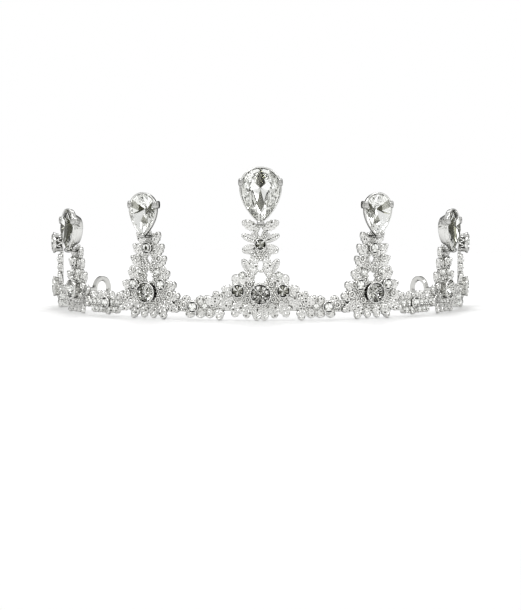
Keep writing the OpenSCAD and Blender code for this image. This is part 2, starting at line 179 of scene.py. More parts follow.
GARLANDS = [
    ("front", FRONT_GARLAND_ANGLE,
        [
            (-7.6, 5.4, 36, 5.8, 3.6, 10), (-5.8, 4.6, 52, 6.2, 3.6, 12), (-6.4, 4.8, 176, 4.8, 3.4, 8),
            (-2.5, 5.2, -10, 3.2, 3.2, 8), (0.5, 5.2, 4, 3.3, 3.8, 8), (5.4, 5.2, 14, 3.4, 3.6, 8),
            (-2.8, 4.0, 176, 3.3, 3.8, 8), (0.6, 4.0, 180, 3.3, 4.0, 8), (4.2, 4.0, 174, 3.3, 3.8, 8),
        ],
        [(-7.0, 3.3), (10.0, 3.3), (10.0, 6.6), (4.0, 7.0), (-3.0, 7.0), (-5.0, 8.4), (-7.0, 9.6)],
        [],
        [(-6.8, 8.4, 1.1, 1.5), (6.4, 5.2, 1.0, 1.4), (-3.6, 5.6, 0.9, 1.3)],
    ),
    ("middle", MIDDLE_GARLAND_ANGLE,
        [
            (-6.4, 5.5, -20, 3.4, 3.2, 8), (-3.6, 5.6, 12, 3.4, 3.2, 8), (0.6, 5.5, 6, 3.4, 3.2, 8),
            (3.6, 5.6, -10, 3.4, 3.2, 8), (6.6, 5.5, 24, 3.4, 3.2, 8), (-1.5, 3.6, 178, 3.1, 3.2, 8),
        ],
        [(-11.0, 3.2), (11.0, 3.2), (11.0, 7.2), (-11.0, 7.2)],
        [],
        [(-9.6, 5.6, 0.9, 1.3), (9.6, 5.6, 0.9, 1.3)],
    ),
    ("back", BACK_GARLAND_ANGLE,
        [(-3.4, 5.5, -16, 3.4, 3.2, 8), (-0.4, 5.6, 6, 3.4, 3.2, 8), (2.6, 5.5, 20, 3.4, 3.2, 8)],
        [(-7.0, 3.2), (6.0, 3.2), (6.0, 7.2), (-7.0, 7.2)],
        [],
        [(-5.6, 5.6, 0.9, 1.3), (4.4, 5.6, 0.9, 1.3)],
    ),
    ("end", END_CAP_ANGLE,
        [(0.2, 5.6, 40, 3.2, 2.8, 6), (0.2, 4.0, 140, 3.2, 2.8, 6)],
        [(-2.6, 3.3), (3.4, 3.3), (3.4, 6.6), (-2.6, 6.6)],
        [],
        [],
    ),
]

# Small stones of the right half: angle of the group, sideways place and level
SMALL_SPOTS = (
    [(0, 6.3, 15.4), (FRONT_GARLAND_ANGLE, -1.2, 4.9)]
    + [(MIDDLE_GARLAND_ANGLE, side, 4.9) for side in (-7.4, -4.8, 1.9, 4.5, 7.1)]
    + [(MIDDLE_GARLAND_ANGLE, side, 2.5) for side in (-6.1, -3.5, 0.6, 3.2, 5.8)]
    + [(BACK_GARLAND_ANGLE, side, 4.9) for side in (-3.4, -0.8, 1.8)]
    + [(BACK_GARLAND_ANGLE, side, 2.5) for side in (-2.1, 0.5, 3.1)]
    + [(INNER_ANGLE, side, 15.9) for side in (-3.7, 3.7)]
    + [(OUTER_ANGLE, half * side, level) for half in (-1, 1) for side, level in ((3.8, 12.0), (2.6, 14.6))]
    + [(END_ANGLE, 0, level) for level in (12.3, 15.0, 17.7)]
)


def main_stones():
    """Node name, angle, sideways place, level and width of each main stone, and a pear's length."""
    rows = [
        ("pear_centre", 0, 0, 42.3, 13.0, 18.0),
        ("base_stone_centre", 0, 0, 9.1, 6.0),
        ("neck_stone_centre", 0, 0, 25.8, 2.7),
        ("flank_stone_centre_left", 0, -7.6, 10.2, 3.3),
        ("flank_stone_centre_right", 0, 7.6, 10.2, 3.3),
    ]
    half_rows = [
        ("pear_inner_{}", INNER_ANGLE, 0, 35.6, 10.0, 14.0),
        ("pear_outer_{}", OUTER_ANGLE, 0, 29.4, 10.0, 14.0),
        ("base_stone_inner_{}", INNER_ANGLE, 0, 9.1, 6.0),
        ("base_stone_outer_{}", OUTER_ANGLE, 0, 8.6, 6.0),
        ("base_stone_end_{}", END_ANGLE, 0, 7.9, 6.0),
        ("top_stone_{}", END_ANGLE, 0, 23.9, 6.2),
        ("neck_stone_inner_{}", INNER_ANGLE, 0, 24.2, 2.7),
        ("neck_stone_outer_{}", OUTER_ANGLE, 0, 18.3, 2.7),
        ("flank_stone_inner_{}_near", INNER_ANGLE, -5.6, 11.8, 2.7),
        ("flank_stone_inner_{}_far", INNER_ANGLE, 5.6, 11.8, 2.7),
        ("garland_stone_front_{}", FRONT_GARLAND_ANGLE, 2.9, 4.6, 2.7),
        ("garland_stone_middle_{}", MIDDLE_GARLAND_ANGLE, -1.6, 4.8, 2.7),
        ("end_stone_{}", END_CAP_ANGLE, 2.0, 4.9, 2.7),
    ]
    for half, sign in HALVES:
        rows += [(row[0].format(half), sign * row[1], sign * row[2], *row[3:]) for row in half_rows]
    return rows


MAIN_STONES = main_stones()


def outward(width, length):
    """How far out a main stone's girdle is. Only a pear has a length."""
    if length:
        return PEAR_OUT
    return LARGE_OUT if width > FLAT_BACK_LIMIT else MINOR_OUT


def new_object(name, data):
    thing = bpy.data.objects.new(name, data)
    bpy.context.scene.collection.objects.link(thing)
    return thing


class Piece:
    """Collects faces in millimetres with their finish and shading, and makes one object of them in metres."""

    def __init__(self):
        self.points = []
        self.faces = []
        self.finish = []
        self.smooth = []

    def add(self, shape, place=None, finish=CAST, smooth=True, flip=False):
        """Adds a shape at a place. The finish is one number, or a list with one for each face."""
        points, faces = shape
        points = np.asarray(points, float)
        if place is not None:
            points = points @ place[:3, :3].T + place[:3, 3]
        start = len(self.points)
        self.points.extend(points.tolist())
        for face in faces:
            ring = [start + i for i in face]
            self.faces.append(ring[::-1] if flip else ring)
        self.finish.extend(finish if isinstance(finish, list) else [finish] * len(faces))
        self.smooth.extend([smooth] * len(faces))

    def build(self, name, materials, replaces):
        mesh = bpy.data.meshes.new(name)
        mesh.from_pydata([[v * MM for v in p] for p in self.points], [], self.faces)
        mesh.polygons.foreach_set("material_index", self.finish)
        mesh.polygons.foreach_set("use_smooth", self.smooth)
        for material in materials:
            mesh.materials.append(material)
        mesh.update()
        piece = new_object(name, mesh)
        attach(piece, "root")
        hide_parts(*replaces)


X, Y, Z = 0, 1, 2


def turn(axis, degrees):
    """A turn about one of the three axes."""
    c, s = math.cos(math.radians(degrees)), math.sin(math.radians(degrees))
    a, b = (axis + 1) % 3, (axis + 2) % 3
    place = np.eye(4)
    place[a, a] = place[b, b] = c
    place[a, b] = -s
    place[b, a] = s
    return place


def shift(x, y, z):
    place = np.eye(4)
    place[:3, 3] = (x, y, z)
    return place


def stretch(x, y, z):
    return np.diag([x, y, z, 1.0])


def on_band(angle, side, level, out):
    """Place on the band. Its X goes along the band, Y up and Z outward."""
    way = math.radians(angle) + side / BAND_RADIUS
    outward = np.array([math.sin(way), -math.cos(way), 0.0])
    place = np.eye(4)
    place[:3, 0] = (math.cos(way), math.sin(way), 0)
    place[:3, 1] = (0, 0, 1)
    place[:3, 2] = outward
    place[:3, 3] = np.array([0, BAND_RADIUS - ORIGIN_DEPTH, level]) + outward * (BAND_RADIUS + out)
    return place


def circle(count):
    """Equal steps once round, in radians."""
    return [TURN * k / count for k in range(count)]


def polar(radius, way):
    """The two places of a point at a radius, on its way round in radians."""
    return radius * math.cos(way), radius * math.sin(way)


def quads(grid):
    """Quads between the neighbouring rows of a grid of point numbers."""
    corners = [grid[:-1, :-1], grid[:-1, 1:], grid[1:, 1:], grid[1:, :-1]]
    return np.stack(corners, axis=2).reshape(-1, 4).tolist()


def rings(loops, close_start=True, close_end=True):
    """A skin over closed loops of points, all with the same number of points."""
    points = [p for loop in loops for p in loop]
    grid = np.arange(len(points)).reshape(len(loops), -1)
    faces = quads(np.hstack([grid, grid[:, :1]]))
    if close_start:
        faces.append(grid[0, ::-1].tolist())
    if close_end:
        faces.append(grid[-1].tolist())
    return points, faces


def lathe(profile, sides, closed=False):
    """Turns radius and height pairs, listed from the back up and in again, round the Z axis."""
    loops = [[(*polar(radius, a), height) for a in circle(sides)] for radius, height in profile]
    return rings(loops, closed, closed)


BEAD_LEVELS = 5
# How far a bead's end levels stay from its poles, in levels, and its height as a share of its width
BEAD_POLE = 0.35
BEAD_HEIGHT = 0.9
# A ball of radius 1, with its poles along Z
BEAD_WAYS = [math.pi * (k + BEAD_POLE) / (BEAD_LEVELS + 2 * BEAD_POLE - 1) for k in range(BEAD_LEVELS)]
BEAD = lathe([(math.sin(a), -math.cos(a)) for a in BEAD_WAYS], 8, closed=True)


def add_bead(piece, place, radius, height=BEAD_HEIGHT):
    piece.add(BEAD, place @ stretch(radius, radius, radius * height))


def add_beads(piece, place, count, first, ring, level, radius, height=BEAD_HEIGHT):
    """Equal beads in a ring. The first stands at a share of a step."""
    for k in range(count):
        add_bead(piece, place @ shift(*polar(ring, TURN * (k + first) / count), level), radius, height)


# Rows to a millimetre, least rows, points across and the share left off at each end
LEAF_GRID = (5, 16, 15, 0.012)
CLUSTER_GRID = (6, 18, 19, 0.01)


def petal_grid(length, rows, least_rows, across, margin):
    """Shares of a petal's length, as a column, and of its half width, as a row."""
    along = max(least_rows, int(length * rows))
    t = margin + (1 - 2 * margin) * np.arange(along) / (along - 1)
    s = np.sin(math.pi / 2 * (2 * np.arange(across) / (across - 1) - 1))
    return t[:, None], s[None, :]


def with_flat_back(x, y, rise):
    """A skin over a grid of places and heights, closed with a wall round it and a flat back."""
    along, across = rise.shape
    front = np.stack(np.broadcast_arrays(x, y, rise), axis=2).reshape(-1, 3)
    grid = np.arange(along * across).reshape(along, across)
    edge = np.concatenate([grid[::-1, 0], grid[0, 1:], grid[1:, -1], grid[-1, -2:0:-1]]).tolist()
    faces = quads(grid)
    start, count = len(front), len(edge)
    for k in range(count):
        m = (k + 1) % count
        faces.append((edge[m], edge[k], start + k, start + m))
    faces.append(list(range(start, start + count))[::-1])
    return np.concatenate([front, front[edge] * (1, 1, 0)]), faces


# A leaf's outline: how far up it is widest, and how blunt its ends are
LEAF_SKEW = 1.05
LEAF_BLUNTNESS = 0.42
LEAF_EDGE = 0.5
LEAF_DOME = 0.55
DOME_STEEPNESS = 2.2
HATCH_PITCH = 0.85
HATCH_SLANT = 0.8
HATCH_DEPTH = 0.22
VEIN_WIDTH = 0.2
VEIN_DEPTH = 0.4
LEAF_RIM = 0.26
LEAF_RIM_RISE = 0.42
GRAIN_PITCH = 0.62
GRAIN_SLANT = 0.5
GRAIN_SHARE = 0.38


def leaf(length, width):
    """A leaf along +Y with a flat back, hatched beside its vein, and with a grained rim."""
    t, s = petal_grid(length, *LEAF_GRID)
    half = width / 2 * np.sin(math.pi * t ** LEAF_SKEW) ** LEAF_BLUNTNESS
    x, y = s * half, t * length
    from_edge = np.minimum((1 - abs(s)) * half, (1 - t) * length)
    rim = np.exp(-((from_edge - LEAF_RIM) / LEAF_RIM) ** 2)
    grain = 1 - GRAIN_SHARE + GRAIN_SHARE * np.cos(TURN * (y + GRAIN_SLANT * x) / GRAIN_PITCH)
    dome = LEAF_DOME * np.sqrt(np.maximum(0, 1 - s * s)) * np.minimum(1, DOME_STEEPNESS * half / width)
    hatch = HATCH_DEPTH * np.cos(TURN * (y + HATCH_SLANT * abs(x)) / HATCH_PITCH)
    vein = VEIN_DEPTH * np.exp(-(x / VEIN_WIDTH) ** 2)
    return with_flat_back(x, y, LEAF_EDGE + dome + (1 - rim) * (hatch - vein) + LEAF_RIM_RISE * rim * grain)


CLUSTER_SKEW = 0.92
CLUSTER_BLUNTNESS = 0.5
SCALLOP = 0.1
CELL_PITCH = 1.5
CELL_RISE = 0.75
CELL_DIMPLE = 0.45
DIMPLE_SHARE = 0.34
# In pitches: the first cell's place, and what is left over behind the last one
CELL_START = 0.55
CELL_REST = 0.15
# A cell's radius as a share of the pitch or the half width, and a lone one's as a share of the half width
CELL_SHARE = 0.62
LONE_CELL_SHARE = 0.75
PAIR_HALF_WIDTH = 1.0
CLUSTER_DOME = 0.25
DOME_SIDES = 0.95


def cluster_half(share, width):
    """A cluster's half width at a share of its length."""
    return width / 2 * np.sin(math.pi * np.clip(share, 0, 1) ** CLUSTER_SKEW) ** CLUSTER_BLUNTNESS


def cluster_cells(length, width):
    """The pitch of a cluster's cells, and each cell's sideways place, place along it and radius."""
    count = max(2, round(length / CELL_PITCH))
    pitch = length / (count + CELL_REST)
    cells = []
    for k in range(count):
        y = (k + CELL_START) * pitch
        half = cluster_half(y / length, width)
        if k in (0, count - 1) or half < PAIR_HALF_WIDTH:
            cells.append((0.0, y, max(CELL_SHARE * pitch, LONE_CELL_SHARE * half)))
        else:
            cells += [(side * half / 2, y, CELL_SHARE * half) for side in (-1, 1)]
    return pitch, np.array(cells)


def cluster(length, width):
    """A petal along +Y with a flat back, made of round cells with dimples, in two rows where it is wide."""
    t, s = petal_grid(length, *CLUSTER_GRID)
    pitch, cells = cluster_cells(length, width)
    bulge = 1 + SCALLOP * np.cos(TURN * (t * length / pitch - CELL_START))
    x, y = cluster_half(t, width) * bulge / (1 + SCALLOP) * s, t * length
    away = np.hypot(x[..., None] - cells[:, 0], y[..., None] - cells[:, 1]) / cells[:, 2]
    cell = np.sqrt(np.clip(1 - away ** 2, 0, 1)) - CELL_DIMPLE * np.exp(-(away / DIMPLE_SHARE) ** 2)
    rise = LEAF_EDGE + CELL_RISE * cell.max(axis=2) + CLUSTER_DOME * np.sqrt(1 - DOME_SIDES * s ** 2)
    return with_flat_back(x, y, rise)


# Painted shade: dark beads sunk in a cluster's cells or a whole leaf's vein. How often, and their half sizes
# and middle's height in a cluster's cells and a whole leaf's vein
SPIRE_SHADE_SPOT_CHANCE = 0.24
GARLAND_SHADE_SPOT_CHANCE = 0.55
CELL_SHADE_SPOT = (0.44, 0.44, 0.15)
CELL_SHADE_SPOT_HEIGHT = 1.2
VEIN_SHADE_SPOT = (0.26, 0.6, 0.16)
VEIN_SHADE_SPOT_HEIGHT = 0.88
VEIN_SHADE_SPOT_SHARES = (0.22, 0.36, 0.5)


def add_leaf(piece, angle, sign, row, rng, shade_spot_chance):
    """Places a row of a leaf table, with a few dark beads of painted shade sunk in a whole leaf's vein or in
    a cluster's cells.
    """
    side, level, lean, length, width, tilt = row[:6]
    place = on_band(angle, sign * side, level, BACK) @ turn(Z, -sign * lean) @ turn(X, tilt)
    if row[6:] == (WHOLE,):
        piece.add(leaf(length, width), place)
        size = VEIN_SHADE_SPOT
        shade_spots = [(0.0, share * length, VEIN_SHADE_SPOT_HEIGHT) for share in VEIN_SHADE_SPOT_SHARES]
    else:
        piece.add(cluster(length, width), place)
        size = CELL_SHADE_SPOT
        shade_spots = [(*cell[:2], CELL_SHADE_SPOT_HEIGHT) for cell in cluster_cells(length, width)[1]]
    for shade_spot in shade_spots:
        if rng.uniform() < shade_spot_chance:
            # Each one is a near-black bead, painted shade
            piece.add(BEAD, place @ shift(*shade_spot) @ stretch(*size), PAINTED_SHADE_METAL)


# A cast grain of size 1, the grains' pitch, their rows' share of it, and the range of stray, size and height
PEBBLE = lathe([(1.0, 0.0), (1.0, 0.95), (0.86, 1.32), (0.5, 1.6), (0.02, 1.7)], 8, closed=True)
PEBBLE_PITCH = 0.86
PEBBLE_ROW_SHARE = 0.87
PEBBLE_STRAY = (-0.1, 0.1)
PEBBLE_SIZE = (0.5, 0.6)
PEBBLE_RISE = (0.55, 0.8)


def inside(outline, x, y):
    """Whether a place lies within a closed outline."""
    found = False
    for (x0, y0), (x1, y1) in zip(outline, np.roll(outline, -1, axis=0)):
        if (y0 > y) != (y1 > y) and x < x0 + (y - y0) / (y1 - y0) * (x1 - x0):
            found = not found
    return found


def add_pebbles(piece, angle, outline, holes, seed):
    """Fills an outline of sideways places and levels with small cast grains that meet on the back plane."""
    rng = np.random.default_rng(seed)
    outline = np.array(outline, float)
    low, high = outline.min(axis=0), outline.max(axis=0)
    rows = int((high[1] - low[1]) / (PEBBLE_PITCH * PEBBLE_ROW_SHARE)) + 1
    columns = int((high[0] - low[0]) / PEBBLE_PITCH) + 2
    for r in range(rows):
        for c in range(columns):
            side = low[0] + (c + 0.5 * (r % 2)) * PEBBLE_PITCH
            level = low[1] + r * PEBBLE_PITCH * PEBBLE_ROW_SHARE
            stray = rng.uniform(*PEBBLE_STRAY, 2)
            size = rng.uniform(*PEBBLE_SIZE)
            rise = rng.uniform(*PEBBLE_RISE)
            if not inside(outline, side, level):
                continue
            if any(((side - x) / w) ** 2 + ((level - y) / h) ** 2 < 1 for x, y, w, h in holes):
                continue
            place = on_band(angle, side + stray[0], level + stray[1], BACK)
            piece.add(PEBBLE, place @ stretch(size, size, rise))


# A raised ring, its wire's outline as outward and upward shares of the wire, and the ball in it
RING_RADIUS = 0.95
RING_WIRE = 0.34
RING_OUTLINE = ((0.9, 0), (1, 0.5), (0.6, 1.5), (0, 1.8), (-0.6, 1.4), (-1, 0.5), (-0.9, 0))
RING = lathe([(RING_RADIUS + RING_WIRE * out, RING_WIRE * up) for out, up in RING_OUTLINE], 14)
RING_BALL = 0.5


def openwork(name, angle, signs, leaves, outline, holes, ring_spots, seed, shade_spot_chance):
    """Leaves and rings, on the sides that the signs give, with the grained ground behind them."""
    piece = Piece()
    rng = np.random.default_rng(seed)
    for row in leaves:
        for sign in signs:
            add_leaf(piece, angle, sign, row, rng, shade_spot_chance)
    add_pebbles(piece, angle, outline, holes, seed)
    for side, level, size, out in ring_spots:
        for sign in signs:
            place = on_band(angle, sign * side, level, BACK + out) @ stretch(size, size, size)
            piece.add(RING, place, POLISHED)
            add_bead(piece, place, RING_BALL)
    piece.build(name, METALS, ["frame"])


def spire(name, angle, leaves, ground, holes, ring_spots, seed):
    outline = ground + [(-side, level) for side, level in ground[::-1]]
    openwork(name, angle, (-1, 1), leaves, outline, holes, ring_spots, seed, SPIRE_SHADE_SPOT_CHANCE)


def garland(name, angle, sign, leaves, ground, holes, ring_spots, seed):
    outline = [(sign * side, level) for side, level in ground]
    openwork(name, sign * angle, (sign,), leaves, outline, holes, ring_spots, seed, GARLAND_SHADE_SPOT_CHANCE)


STRAP_SIDES = 14
# Shares of a strap's width, back from its tip, and of its thickness that stays where it has no width
STRAP_TIP = (0.2, 0.58, 0.8, 0.92, 0.98)
STRAP_THIN = 0.4
CLAW_THICKNESS = 0.7


def strap(width, path):
    """A band with round edges along a path of outward and upward places, that narrows to its round tip."""
    loops = []
    count = len(path)
    for i, (out, up) in enumerate(path):
        before, after = path[max(0, i - 1)], path[min(count - 1, i + 1)]
        along = np.array([after[0] - before[0], after[1] - before[1]], float)
        along /= np.linalg.norm(along)
        left = count - 1 - i
        share = STRAP_TIP[left] if left < len(STRAP_TIP) else 1.0
        loop = []
        for a in circle(STRAP_SIDES):
            depth = (STRAP_THIN + (1 - STRAP_THIN) * share) * CLAW_THICKNESS / 2 * math.sin(a)
            loop.append((share * width / 2 * math.cos(a), out + along[1] * depth, up - along[0] * depth))
        loops.append(loop)
    return rings(loops)


# A claw's stem, as outward places and shares of its foot's depth, and its neck
CLAW_STEM = ((0.3, 1), (0.45, 0.4))
CLAW_NECK = (0.58, -0.2)
# Its hook's half circle: middle, reach, first share of the turn, steps and the share of the rise below it
HOOK_MIDDLE = -0.1
HOOK_REACH = 0.7
HOOK_START = 0.02
HOOK_STEPS = 8
HOOK_FOOT = 0.35


def add_claw(piece, place, x, y, heading, width, low, rise):
    """A broad claw at x, y on a cup that bends over its stone. The heading is its outward way, in degrees."""
    path = [(out, low * share) for out, share in CLAW_STEM] + [CLAW_NECK]
    for k in range(HOOK_STEPS):
        out, up = polar(1, math.pi * (HOOK_START + k / HOOK_STEPS))
        path.append((HOOK_MIDDLE + HOOK_REACH * out, rise * (HOOK_FOOT + (1 - HOOK_FOOT) * up)))
    turned = place @ shift(x, y, 0) @ turn(Z, heading - 90)
    piece.add(strap(width, path), turned, POLISHED, flip=True)


BAR_SIDES = 6
BASKET_ARCHES = 10
BASKET_BAR = 0.26


def bar(start, end):
    """A round bar between two places."""
    start, end = np.array(start, float), np.array(end, float)
    along = (end - start) / np.linalg.norm(end - start)
    across = np.cross(along, (0, 0, 1.0))
    across /= np.linalg.norm(across)
    third = np.cross(along, across)
    turns = circle(BAR_SIDES)
    return rings([
        [tuple(middle + BASKET_BAR * (across * math.cos(a) + third * math.sin(a))) for a in turns]
        for middle in (start, end)
    ])


def add_basket_bars(piece, place, radius, low, high):
    """Slanted bars that lean on each other round a basket, from its lower ring to its upper one."""
    step = TURN / BASKET_ARCHES
    for k in range(BASKET_ARCHES):
        for lean in (-0.5, 0.5):
            foot, head = (*polar(radius, k * step), low), (*polar(radius, (k + lean) * step), high)
            piece.add(bar(foot, head), place, POLISHED)


LARGE_CUP_SIDES = 40
MINOR_CUP_SIDES = 28
SMALL_CUP_SIDES = 18
# Radius at which a skin ends near its axis
AXIS = 0.01
# Steps outward and upward of a round cup's outlines
CUP_CORNER = ((-0.15, 0), (0, 0.15))
WALL_TOP = (0.62 * RIM, -0.45)
ROLLED_RIM = ((-0.05, -0.1), (0, 0.12), (-0.1, 0.34), (-0.26, 0.42))
GROOVE_EDGE = ((0.08, 0.38), (0, 0.25))
GROOVE_WALL = (-0.06, -0.1)
FLOOR_SHARE = 0.4
BASKET_FOOT = ((-0.1, 0), (0.05, 0.2), (-0.12, 0.45))
BASKET_TOP = ((0.08, -0.75), (0.45, -0.55), (0.5, -0.35))
BARS_FOOT = 0.4
BARS_HEAD = -0.7
# Beads on a base stone's rim: their share of the rim, pitch, level and radius
RIM_BEAD_SHARE = 0.6
RIM_BEAD_PITCH = 0.66
RIM_BEAD_LEVEL = 0.34
RIM_BEAD = 0.31
# Bead claws: radius on a large and a minor stone, place beyond the stone, level and height
LARGE_CLAW = 0.36
MINOR_CLAW = 0.32
CLAW_OUT = 0.12
CLAW_LEVEL = 0.42
CLAW_HEIGHT = 1.1
# A basket's broad claws
BASKET_CLAW_WAYS = (45, 135, 225, 315)
BASKET_CLAW_WIDTH = 1.5
BASKET_CLAW_FOOT = 0.2
CLAW_RISE = 0.6


def moved(outline, radius, height=0):
    return [(radius + out, height + up) for out, up in outline]


def round_cup(piece, place, size, depth, beaded, basket):
    """A round bezel with a rolled rim, and near-black metal as painted shade in its groove and on its floor.
    A basket has slanted bars and broad claws, with painted shade on the band behind the bars.
    """
    large = size > FLAT_BACK_LIMIT
    sides = LARGE_CUP_SIDES if large else MINOR_CUP_SIDES
    r = size / 2
    groove = r + (GROOVE if large else WIDE_GROOVE)
    floor = -CUP_FLOOR - (PAVILION_SHARE * size if large else 0)
    if basket:
        foot = [(AXIS, -depth)] + moved(BASKET_FOOT, r, -depth)
        wall = moved(BASKET_TOP, r)
        piece.add(lathe(foot, sides), place, POLISHED)
        # The band behind the basket's bars is near-black, painted shade
        piece.add(lathe([foot[-1], wall[0]], sides), place, PAINTED_SHADE_METAL)
        add_basket_bars(piece, place, r, BARS_FOOT - depth, BARS_HEAD)
    else:
        wall = [(AXIS, -depth)] + moved(CUP_CORNER, r + CUP_BACK_RIM, -depth) + moved([WALL_TOP], r)
    edge = moved(GROOVE_EDGE, groove)
    hollow = [edge[-1]] + moved([GROOVE_WALL], groove) + [(FLOOR_SHARE * r, floor), (AXIS, floor)]
    piece.add(lathe(wall + moved(ROLLED_RIM, r + RIM) + edge, sides), place, POLISHED)
    # The groove and the floor under the stone are near-black, painted shade
    piece.add(lathe(hollow, sides), place, PAINTED_SHADE_METAL)
    if beaded:
        ring = r + RIM * RIM_BEAD_SHARE
        add_beads(piece, place, int(TURN * ring / RIM_BEAD_PITCH), 0, ring, RIM_BEAD_LEVEL, RIM_BEAD)
    if basket:
        for heading in BASKET_CLAW_WAYS:
            x, y = polar(r, math.radians(heading))
            add_claw(piece, place, x, y, heading, BASKET_CLAW_WIDTH, BASKET_CLAW_FOOT - depth, CLAW_RISE)
    else:
        claw = LARGE_CLAW if large else MINOR_CLAW
        add_beads(piece, place, 4, 0.5, r + CLAW_OUT, CLAW_LEVEL, claw, CLAW_HEIGHT)


PEAR_STEPS = 48
# A pear's outline: the curve's greatest place sideways, and how slim its point is
PEAR_REACH = 0.82
PEAR_SLIMNESS = 0.7
PEAR_CLAW_WIDTH = 2.5
PEAR_CLAW_FOOT = 0.1


def pear_point(width, length, share):
    """A point of a pear with its tip down, for a share of the way round from its tip."""
    t = TURN * share
    x = width / 2 / PEAR_REACH * math.sin(t) * abs(math.sin(t / 2)) ** PEAR_SLIMNESS
    return x, -length / 2 * math.cos(t)


def pear_cup(piece, place, width, length, depth):
    """A plain pear-shaped cup with a stepped and rolled rim, and a broad claw at each side and at the tip."""
    girdle = GIRDLE_SHARE * width
    back = PEAR_BACK_SHARE
    floor = -PEAR_PAVILION_SHARE * width - CUP_FLOOR
    groove = (1, PEAR_GROOVE, girdle - 0.12)
    # Share of the stone's size, growth beyond it and height of each level
    outside = [
        (0.02, 0, -depth), (back, 0, -depth), (back + 0.04, 0, -depth + 0.2),
        (0.5 * (1 + back), 0, -0.55 * depth), (0.95, -0.05, -1.45), (0.97, -0.1, -1.3),
        (1, PEAR_RIM - 0.3, -1.2), (1, PEAR_RIM - 0.24, -0.55), (1, PEAR_RIM - 0.22, -0.3),
        (1, PEAR_RIM, -0.15), (1, PEAR_RIM, girdle - 0.25), (1, PEAR_RIM - 0.08, girdle - 0.05),
        (1, PEAR_RIM - 0.2, girdle + 0.03), (1, PEAR_GROOVE + 0.06, girdle), groove,
    ]
    inside_wall = [groove, (1, PEAR_GROOVE - 0.05, -0.05), (0.35, 0, floor), (0.02, 0, floor)]
    for levels in (outside, inside_wall):
        loops = []
        for share, grow, height in levels:
            size = (share * width + 2 * grow, share * length + 2 * grow)
            lift = CULET_PLACE_SHARE * length * (1 - share) if height == floor else 0
            outline = [pear_point(*size, k / PEAR_STEPS) for k in range(PEAR_STEPS)]
            loops.append([(x, y + lift, height) for x, y in outline][::-1])
        piece.add(rings(loops, close_start=False, close_end=False), place, POLISHED, flip=True)
    for x, y, heading, low in (
        (-width / 2, PRONG_PLACE_SHARE * length, 180, -PRONG_LENGTH),
        (width / 2, PRONG_PLACE_SHARE * length, 0, -PRONG_LENGTH),
        (0, -length / 2, 270, PEAR_CLAW_FOOT - depth),
    ):
        add_claw(piece, place, x, y, heading, PEAR_CLAW_WIDTH, low, girdle + CLAW_RISE)


# A small cup's bead claws: place beyond the stone, level above the cup and radius
SMALL_CLAW_OUT = 0.14
SMALL_CLAW_LEVEL = 0.16
SMALL_CLAW = 0.25


def small_cup(piece, place):
    """A small round cup with four bead claws. The place is on the back plane."""
    r = SMALL_STONE_SIZE / 2
    edge = r + PAD_RIM
    outside = [
        (AXIS, 0), (edge - 0.12, 0), (edge, 0.15), (edge, PAD_HEIGHT - 0.1), (edge - 0.08, PAD_HEIGHT + 0.08),
        (r + 0.16, PAD_HEIGHT + 0.12), (r + 0.1, PAD_HEIGHT),
    ]
    hollow = [outside[-1], (r, PAD_HEIGHT - 0.05), (AXIS, PAD_HEIGHT - 0.05)]
    piece.add(lathe(outside, SMALL_CUP_SIDES), place, POLISHED)
    # The hollow under the stone is near-black, painted shade
    piece.add(lathe(hollow, SMALL_CUP_SIDES), place, PAINTED_SHADE_METAL)
    add_beads(piece, place, 4, 0.5, r + SMALL_CLAW_OUT, PAD_HEIGHT + SMALL_CLAW_LEVEL, SMALL_CLAW)


# The star points' shares outward and up the crown, and the depth and place of the corners between the main
# facets, with how much farther out an inner kite reaches
STAR_OUT = 0.98
STAR_UP = 0.52
CORNER_DEPTH = 1.07
KITE_REACH = 0.11
ROUND_CORNER = 0.42
PEAR_CORNER = 0.47
PEAR_CORNER_CHANGE = 0.12


def round_corner(way):
    """Where a corner between a round stone's main facets lies: its shares of the way round and out."""
    return way, ROUND_CORNER


def pear_corner(way):
    """The same for a pear, whose main facets are wider at its tip and its top, and longer at its tip."""
    round_share = way + PEAR_SPREAD * math.sin(4 * math.pi * way)
    return round_share, PEAR_CORNER + PEAR_CORNER_CHANGE * math.cos(TURN * way)


